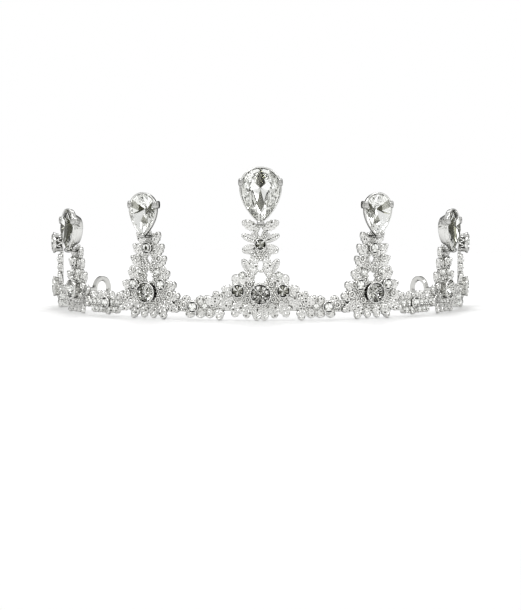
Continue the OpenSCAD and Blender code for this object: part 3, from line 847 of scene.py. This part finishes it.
def cut_stone(outline, count, table, crown, girdle, pavilion, culet_lift=0.0, corner=round_corner):
    """A faceted stone, as its points and its front and back faces.

    outline gives a point of the girdle for a share of the way round. Each main facet behind is an inner kite
    in two halves and two outer triangles.
    """
    points = []

    def ring(number, offset, share, height):
        start = len(points)
        for k in range(number):
            x, y = outline((k + offset) / number)
            points.append((share * x, share * y, height))
        return list(range(start, start + number))

    t = ring(count, 0, table, crown + girdle)
    s = ring(count, 0.5, (1 + table) / 2 * STAR_OUT, girdle + crown * STAR_UP)
    g = ring(2 * count, 0, 1.0, girdle)
    h = ring(2 * count, 0, 1.0, 0.0)
    front = [tuple(t)]
    # Each ring ends with its first point again
    for loop in (t, g, h):
        loop.append(loop[0])
    for k in range(count):
        a, b, c = g[2 * k:2 * k + 3]
        front += [(t[k], s[k], t[k + 1]), (t[k], s[k - 1], a, s[k]), (s[k], a, b), (s[k], b, c)]
    front += [(g[k], h[k], h[k + 1], g[k + 1]) for k in range(2 * count)]
    if pavilion == 0:
        # A flat back has a facet for each side of the girdle
        centre = len(points)
        points.append((0, 0, 0.0))
        return points, front, [(h[k], centre, h[k + 1]) for k in range(2 * count)]
    p = []
    for k in range(count):
        way, share = corner((k + 0.5) / count)
        x, y = outline(way)
        p.append(len(points))
        inward = 1 - share
        points.append((share * x, share * y + culet_lift * inward, -CORNER_DEPTH * pavilion * inward))
    culet = len(points)
    points.append((0, culet_lift, -pavilion))
    behind = []
    for k in range(count):
        a, b, c = (np.array(points[i]) for i in (p[k - 1], culet, p[k]))
        level = np.cross(b - a, c - b)
        share = KITE_REACH + corner(k / count)[1]
        first, second, third = h[2 * k:2 * k + 3]
        x, y = share * np.array(points[first])[:2] + (1 - share) * b[:2]
        z = b[2] - (level[0] * (x - b[0]) + level[1] * (y - b[1])) / level[2]
        top = len(points)
        points.append((x, y, z))
        behind += [
            (p[k - 1], culet, top), (top, culet, p[k]), (p[k - 1], top, first),
            (first, top, p[k]), (first, p[k], second), (second, p[k], third),
        ]
    return points, front, behind


def round_outline(size):
    return lambda share: polar(size / 2, TURN * share)


def stone_shape(width, length=0):
    """A main stone. Only a pear has a length."""
    girdle = max(GIRDLE_SHARE * width, LEAST_GIRDLE)
    crown = CROWN_SHARE * width - girdle
    if length:
        return cut_stone(
            lambda share: pear_point(width, length, share), 8, PEAR_TABLE_SHARE, crown, girdle,
            PEAR_PAVILION_SHARE * width, CULET_PLACE_SHARE * length, pear_corner,
        )
    if width > FLAT_BACK_LIMIT:
        return cut_stone(round_outline(width), 12, TABLE_SHARE, crown, girdle, PAVILION_SHARE * width)
    return cut_stone(round_outline(width), 8, TABLE_SHARE, crown, girdle, 0)


def add_stone(piece, place, stone, tones):
    """Places a stone. The tones are the letters of the foils behind its back facets, and repeat round it.
    They paint the stone's light and dark reflections.
    """
    points, front, behind = stone
    foils = [FOIL_LETTERS.index(tones[k % len(tones)]) + 1 for k in range(len(behind))]
    finish = [GLASS] * len(front) + foils
    piece.add((points, front + behind), place, finish, smooth=False)


def new_material(name):
    """A new material, with its tree of nodes and its shader."""
    material = bpy.data.materials.new(name)
    material.use_nodes = True
    return material, material.node_tree, material.node_tree.nodes["Principled BSDF"]


def fill(tree, node, inputs):
    """Gives each input of a node a value, or a link from another node's output."""
    for socket, value in inputs.items():
        if isinstance(value, bpy.types.NodeSocket):
            tree.links.new(value, node.inputs[socket])
        else:
            node.inputs[socket].default_value = value


def node_of(tree, kind, inputs):
    node = tree.nodes.new("ShaderNode" + kind)
    fill(tree, node, inputs)
    return node


def cloud_of(tree, scale, detail=2.0):
    """Soft noise over a piece."""
    place = node_of(tree, "TexCoord", {}).outputs["Object"]
    return node_of(tree, "TexNoise", {"Vector": place, "Scale": scale, "Detail": detail}).outputs["Fac"]


def cloudy_polish(tree, shader, cloud, least, most):
    """Lets a noise drive the roughness between two values."""
    rough = node_of(tree, "MapRange", {"Value": cloud, "To Min": least, "To Max": most})
    tree.links.new(rough.outputs["Result"], shader.inputs["Roughness"])


def smooth_rise(tree, value, start, end):
    """Rises smoothly from 0 to 1 between two values."""
    rise = node_of(tree, "MapRange", {"Value": value, "From Min": start, "From Max": end})
    rise.interpolation_type = "SMOOTHSTEP"
    return rise.outputs["Result"]


def colour_mix(tree, factor, one, other):
    """Turns from one colour to the other with a factor."""
    mix = tree.nodes.new("ShaderNodeMix")
    mix.data_type = "RGBA"
    fill(tree, mix, {"Factor": factor, "A": one, "B": other})
    return mix.outputs["Result"]


def ramp_of(tree, value, stops):
    """The colour for a value, from two stops of a position and a colour."""
    ramp = node_of(tree, "ValToRGB", {"Fac": value})
    for element, (position, colour) in zip(ramp.color_ramp.elements, stops):
        element.position = position
        element.color = (*colour, 1)
    return ramp.outputs["Color"]


# What plated metal mirrors at a grazing angle, as a share of what bare metal would
EDGE_SHADE = 0.03
METAL_CLOUD = 260.0
METAL_CLOUD_DETAIL = 3.0
METAL_GRAIN = 1500.0
METAL_GRAIN_DEPTH = 0.0002
# The roughness in the cloud, as shares of the metal's own, and the range of hollowness over which painted
# shade darkens the colour
CLOUD_SHARES = (0.6, 1.5)
PAINTED_SHADE_RANGE = (0.42, 0.5)


def metal(name, colour, roughness, grain, hollow_shade_share):
    """Bright plating with a little cloudiness, and painted shade in its hollows, where the base colour is
    darker.
    """
    material, tree, shader = new_material(name)
    shader.inputs["Metallic"].default_value = 1.0
    shader.inputs["Specular Tint"].default_value = (EDGE_SHADE, EDGE_SHADE, EDGE_SHADE, 1)
    least, most = (share * roughness for share in CLOUD_SHARES)
    cloudy_polish(tree, shader, cloud_of(tree, METAL_CLOUD, METAL_CLOUD_DETAIL), least, most)
    grains = {"Strength": grain, "Distance": METAL_GRAIN_DEPTH, "Height": cloud_of(tree, METAL_GRAIN)}
    tree.links.new(node_of(tree, "Bump", grains).outputs["Normal"], shader.inputs["Normal"])
    # Painted shade: the base colour darkens where the surface is hollow
    painted_shade_mask = node_of(tree, "NewGeometry", {}).outputs["Pointiness"]
    stops = zip(PAINTED_SHADE_RANGE, ([c * hollow_shade_share for c in colour], colour))
    tree.links.new(ramp_of(tree, painted_shade_mask, stops), shader.inputs["Base Color"])
    return material


GLASS_CLOUD = 400.0
GLASS_ROUGHNESS = 0.03


def glass(name, colour, ior):
    """Cut glass, with faint cloudiness in its polish."""
    material, tree, shader = new_material(name)
    shader.inputs["Base Color"].default_value = (*colour, 1)
    shader.inputs["Transmission Weight"].default_value = 1.0
    shader.inputs["IOR"].default_value = ior
    cloudy_polish(tree, shader, cloud_of(tree, GLASS_CLOUD), 0.0, GLASS_ROUGHNESS)
    return material


FOIL_CLOUD = 350.0
FOIL_ROUGHNESS = 0.03
FOIL_SHADE = 0.9


def foil(name, colour):
    """The mirror foil on a stone's back, a little darker in places. The pale, grey and dark ones are painted
    reflections.
    """
    material, tree, shader = new_material(name)
    shader.inputs["Metallic"].default_value = 1.0
    shader.inputs["Roughness"].default_value = FOIL_ROUGHNESS
    shaded = (*[c * FOIL_SHADE for c in colour], 1)
    tint = colour_mix(tree, cloud_of(tree, FOIL_CLOUD), shaded, (*colour, 1))
    tree.links.new(tint, shader.inputs["Base Color"])
    return material


# Each metal's last number is the share of its colour left in hollows, as painted shade
METALS = [
    metal("plated_cast_metal", (0.76, 0.76, 0.74), 0.14, 0.15, 0.4),
    metal("polished_metal", (0.76, 0.76, 0.74), 0.08, 0.05, 0.5),
    # Near-black metal that stands in grooves, cup floors, openings and pits as painted shade
    metal("dark_hollow_metal", (0.1, 0.1, 0.09), 0.3, 0.1, 0.6),
]
WIRE = metal("polished_wire", (0.6, 0.6, 0.58), 0.1, 0.05, 0.5)
CLEAR = glass("clear_cut_glass", (0.99, 1.0, 0.99), 1.4)
BRIGHT = glass("bright_cut_glass", (0.99, 1.0, 0.99), 1.5)
SMOKY = glass("smoky_cut_glass", (0.95, 0.95, 0.94), 1.4)
# The silver foil is a cut stone's mirror backing. The pale, grey and dark foils, set facet by facet, are
# painted reflections
FOILS = [
    foil("silver_foil", (0.98, 0.98, 0.97)),
    foil("pale_foil", (0.86, 0.86, 0.84)),
    foil("grey_foil", (0.42, 0.42, 0.38)),
    foil("dark_foil", (0.07, 0.07, 0.05)),
]

STRIP_CORNER = 0.3
STRIP_STEPS = 148
LUG_SHARES = (0.25, 0.5, 0.75, 1.0)
EYELET_ANGLE = 89.0
EYELET_RADIUS = 0.825
EYELET_WIRE = 0.297
EYELET_LIFT = 0.88


def section_at(place, wide=1, high=1):
    """The strip's section, with round corners, at a place and with shares of its thickness and its height."""
    points = []
    for x, y, start in ((1, -1, -90), (1, 1, 0), (-1, 1, 90), (-1, -1, 180)):
        for k in range(4):
            out, up = polar(STRIP_CORNER, math.radians(start + 30 * k))
            out += x * (STRIP_THICKNESS / 2 - STRIP_CORNER)
            up += y * (STRIP_HEIGHT / 2 - STRIP_CORNER)
            points.append((0, up * high, out * wide))
    return np.array(points) @ place[:3, :3].T + place[:3, 3]


def add_eyelet(piece, place):
    """A tiny upright eyelet of round wire."""
    section = circle(10) + [TURN]
    wire = [(EYELET_RADIUS + EYELET_WIRE * math.cos(a), EYELET_WIRE * math.sin(a)) for a in section]
    piece.add(lathe(wire, 24), place @ turn(Y, 90), POLISHED)


def strip_and_lugs():
    """The plain inner strip with rounded edges, and the tapered joint at each end of it."""
    piece = Piece()
    middle = STRIP_INNER_RADIUS + STRIP_THICKNESS / 2
    loops = []
    for k in range(STRIP_STEPS + 1):
        angle = -BAND_REACH + 2 * BAND_REACH * k / STRIP_STEPS
        loops.append(section_at(on_band(angle, 0, STRIP_LEVEL, middle - BAND_RADIUS)))
    across, back = polar(middle, math.radians(BAND_REACH))[::-1]
    for sign, end in ((1, loops[-1]), (-1, loops[0])):
        place = on_band(sign * (90 + ARM_HEADING), 0, 0, 0)
        depth = BAND_RADIUS - back + LUG_REACH - ORIGIN_DEPTH
        place[:3, 3] = (sign * (across - LUG_INSET), depth, STRIP_LEVEL)
        wire = section_at(place, ARM_WIRE / STRIP_THICKNESS, ARM_WIRE / STRIP_HEIGHT)
        ends = [end]
        for t in LUG_SHARES:
            smooth = t * t * (3 - 2 * t)
            ends.append(end * (1 - smooth) + wire * smooth)
        piece.add(rings(ends[::sign], close_start=sign == -1, close_end=sign == 1), finish=POLISHED)
    piece.add(rings(loops, close_start=False, close_end=False), finish=POLISHED)
    # The eyelet stands on the strip's right end only
    level = STRIP_LEVEL + STRIP_HEIGHT / 2 + EYELET_LIFT
    add_eyelet(piece, on_band(EYELET_ANGLE, 0, level, middle - BAND_RADIUS))
    piece.build("inner_strip", METALS, ["frame"])


def settings():
    piece = Piece()
    for name, angle, side, level, width, *length in MAIN_STONES:
        out = outward(width, length)
        place = on_band(angle, side, level, out)
        if length:
            pear_cup(piece, place, width, *length, out - BACK)
        else:
            base, top = name.startswith("base_stone"), name.startswith("top_stone")
            round_cup(piece, place, width, out - BACK, base, top)
    for sign in (-1, 1):
        for angle, side, level in SMALL_SPOTS:
            small_cup(piece, on_band(sign * angle, sign * side, level, BACK))
    piece.build("stone_settings", METALS, ["frame"])


# Foils behind the back facets, which paint the stones' light and dark reflections. A row is a main facet's
# inner kite in two halves, its two outer triangles and the two halves after it, from a pear's tip round by
# its right side. The left pears mirror the right ones.
PLAIN = "SSSSSS"
CENTRE_PEAR_TONES = ["GGSSSS", PLAIN, "SSSSPS", PLAIN, "DGDGSS", PLAIN, PLAIN, PLAIN]
INNER_PEAR_TONES = [PLAIN, PLAIN, "DDDGSG", "DDGSSS", PLAIN, PLAIN, PLAIN, PLAIN]
OUTER_PEAR_TONES = ["SDSSSG", "DDDDSD", "DDDSDS", "DDSDDS", "SSSPSP", PLAIN, "PSSSGS", "GDSSSP"]
# The round stones' foils repeat round them, one facet after the other
CLEAR_TONES = "SDPSDSG"
SMOKY_TONES = "SDSDSSDSSSDSSDSGSD"
FLANK_TONES = "DGPDGDSGDDGPDGDG"
MINOR_TONES = "SSPSG"


def pear_tones(angle):
    """The foils of a pear, as painted reflections, for its angle on the band."""
    if angle == 0:
        rows = CENTRE_PEAR_TONES
    else:
        rows = INNER_PEAR_TONES if abs(angle) == INNER_ANGLE else OUTER_PEAR_TONES
    if angle < 0:
        rows = [
            "".join(rows[-k][m] for m in (1, 0, 3, 2)) + rows[-1 - k][5] + rows[-1 - k][4]
            for k in range(len(rows))
        ]
    return "".join(rows)


def main_stone_cuts():
    for name, angle, side, level, width, *length in MAIN_STONES:
        large = width > FLAT_BACK_LIMIT
        smoky = name == "base_stone_centre" or name.startswith("flank_stone_centre")
        if length:
            tones = pear_tones(angle)
        elif large:
            tones = SMOKY_TONES if smoky else CLEAR_TONES
        else:
            tones = FLANK_TONES if smoky or name == "neck_stone_centre" else MINOR_TONES
        piece = Piece()
        place = on_band(angle, side, level, outward(width, length) + (0 if large else STONE_GAP))
        add_stone(piece, place, stone_shape(width, *length), tones)
        clear = BRIGHT if name == "pear_centre" else CLEAR
        materials = [SMOKY if smoky else clear] + FOILS
        piece.build(name + "_cut", materials, [name])


def small_stone_cuts():
    outline = round_outline(SMALL_STONE_SIZE)
    small = cut_stone(outline, 8, SMALL_TABLE_SHARE, SMALL_CROWN, SMALL_GIRDLE, 0)
    for half, sign in HALVES:
        piece = Piece()
        for angle, side, level in SMALL_SPOTS:
            place = on_band(sign * angle, sign * side, level, BACK + PAD_HEIGHT + STONE_GAP)
            add_stone(piece, place, small, MINOR_TONES)
        piece.build("small_stones_" + half + "_cut", [CLEAR] + FOILS, ["small_stones_" + half])


def arms():
    for name in ("arm_left", "arm_right"):
        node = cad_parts[name]
        node.data.materials.clear()
        node.data.materials.append(WIRE)


FLOOR_SIZE = 60
FLOOR_COLOUR = (0.9, 0.9, 0.9)
FLOOR_ROUGHNESS = 0.6
# Where the floor starts to fade and where it has gone, in metres from its middle
FLOOR_FADE = (0.15, 0.55)


def pale_floor():
    """A pale floor that fades into the white round it."""
    bpy.ops.mesh.primitive_plane_add(size=FLOOR_SIZE, location=(0, 0, 0))
    floor = bpy.context.object
    floor.name = "floor"
    paint, tree, shader = new_material("pale_floor")
    shader.inputs["Base Color"].default_value = (*FLOOR_COLOUR, 1)
    shader.inputs["Roughness"].default_value = FLOOR_ROUGHNESS
    away = node_of(tree, "VectorMath", {0: node_of(tree, "TexCoord", {}).outputs["Object"]})
    away.operation = "LENGTH"
    fade = smooth_rise(tree, away.outputs["Value"], *FLOOR_FADE)
    clear = node_of(tree, "BsdfTransparent", {}).outputs["BSDF"]
    inputs = {"Fac": fade, 1: shader.outputs["BSDF"], 2: clear}
    mixed = node_of(tree, "MixShader", inputs).outputs["Shader"]
    tree.links.new(mixed, tree.nodes["Material Output"].inputs["Surface"])
    floor.data.materials.append(paint)


# The grey screens' scale, detail and turn in degrees, and the tones of the gaps and of the screens
SCREEN_SCALE = 3.2
SCREEN_DETAIL = 1.5
SCREEN_TURN = 30
SCREEN_STOPS = ((0.41, (0.03, 0.03, 0.022)), (0.47, (0.95, 0.95, 0.94)))
SKY = (0.82, 0.82, 0.82, 1)
WHITE = (1.0, 1.0, 1.0, 1)
SKY_RISE = (0.25, 0.6)


def surroundings():
    """Grey screens with dark gaps for the metal to mirror, a pale sky above them and a white backdrop."""
    world = bpy.data.worlds.new("studio")
    bpy.context.scene.world = world
    world.use_nodes = True
    tree = world.node_tree
    place = node_of(tree, "TexCoord", {}).outputs["Generated"]
    inputs = {"Vector": place, "Rotation": (0, 0, math.radians(SCREEN_TURN))}
    turned = node_of(tree, "Mapping", inputs).outputs["Vector"]
    inputs = {"Vector": turned, "Scale": SCREEN_SCALE, "Detail": SCREEN_DETAIL}
    screens = ramp_of(tree, node_of(tree, "TexNoise", inputs).outputs["Fac"], SCREEN_STOPS)
    height = node_of(tree, "SeparateXYZ", {"Vector": place}).outputs["Z"]
    dome = colour_mix(tree, smooth_rise(tree, height, *SKY_RISE), screens, SKY)
    seen = colour_mix(tree, node_of(tree, "LightPath", {}).outputs["Is Camera Ray"], dome, WHITE)
    tree.links.new(seen, tree.nodes["Background"].inputs["Color"])


# Name, place, power and size of each soft light
LIGHTS = (
    ("key", (-0.35, -0.45, 0.65), 2.2, 0.3),
    ("fill", (0.45, -0.25, 0.5), 1.0, 0.25),
    ("rim", (0.0, 0.55, 0.5), 1.2, 0.35),
)
LIGHT_AIM = Vector((0, 0, 0.02))


def aimed(thing, target):
    """Turns a light or camera to a place."""
    thing.rotation_euler = (target - thing.location).to_track_quat("-Z", "Y").to_euler()


def lights():
    for name, place, power, size in LIGHTS:
        light = bpy.data.lights.new(name, "AREA")
        light.energy = power
        light.size = size
        lamp = new_object(name, light)
        lamp.location = place
        aimed(lamp, LIGHT_AIM)


CAMERA_TARGET = Vector((0.0, -0.05, 0.0055))
CAMERA_ELEVATION = 4.0
CAMERA_DISTANCE = 0.68
SENSOR_WIDTH = 36.0
# The photo's width in pixels, and its pixels to a metre at the target
PHOTO_WIDTH = 521
PHOTO_SCALE = 2980.0


def view():
    scene = bpy.context.scene
    scene.view_settings.view_transform = "Standard"
    # Light goes to and fro in the cut stones before it leaves them
    scene.cycles.max_bounces = 20
    scene.cycles.glossy_bounces = 14
    scene.cycles.transmission_bounces = 16
    camera = bpy.data.cameras.new("camera")
    camera.sensor_fit = "HORIZONTAL"
    camera.sensor_width = SENSOR_WIDTH
    camera.lens = SENSOR_WIDTH * CAMERA_DISTANCE / (PHOTO_WIDTH / PHOTO_SCALE)
    camera.clip_start = 0.01
    eye = new_object("camera", camera)
    out, up = polar(CAMERA_DISTANCE, math.radians(CAMERA_ELEVATION))
    eye.location = CAMERA_TARGET + Vector((0, -out, up))
    aimed(eye, CAMERA_TARGET)
    scene.camera = eye


strip_and_lugs()
spire("spire_centre", 0, *CENTRE_SPIRE, 1)
for half, sign in HALVES:
    for seed, (kind, angle, *tables) in enumerate(SIDE_SPIRES, 2):
        spire(f"spire_{kind}_{half}", sign * angle, *tables, seed)
    for seed, (kind, angle, *tables) in enumerate(GARLANDS, 5):
        garland(f"garland_{kind}_{half}", angle, sign, *tables, seed)
settings()
main_stone_cuts()
small_stone_cuts()
arms()
pale_floor()
surroundings()
lights()
view()
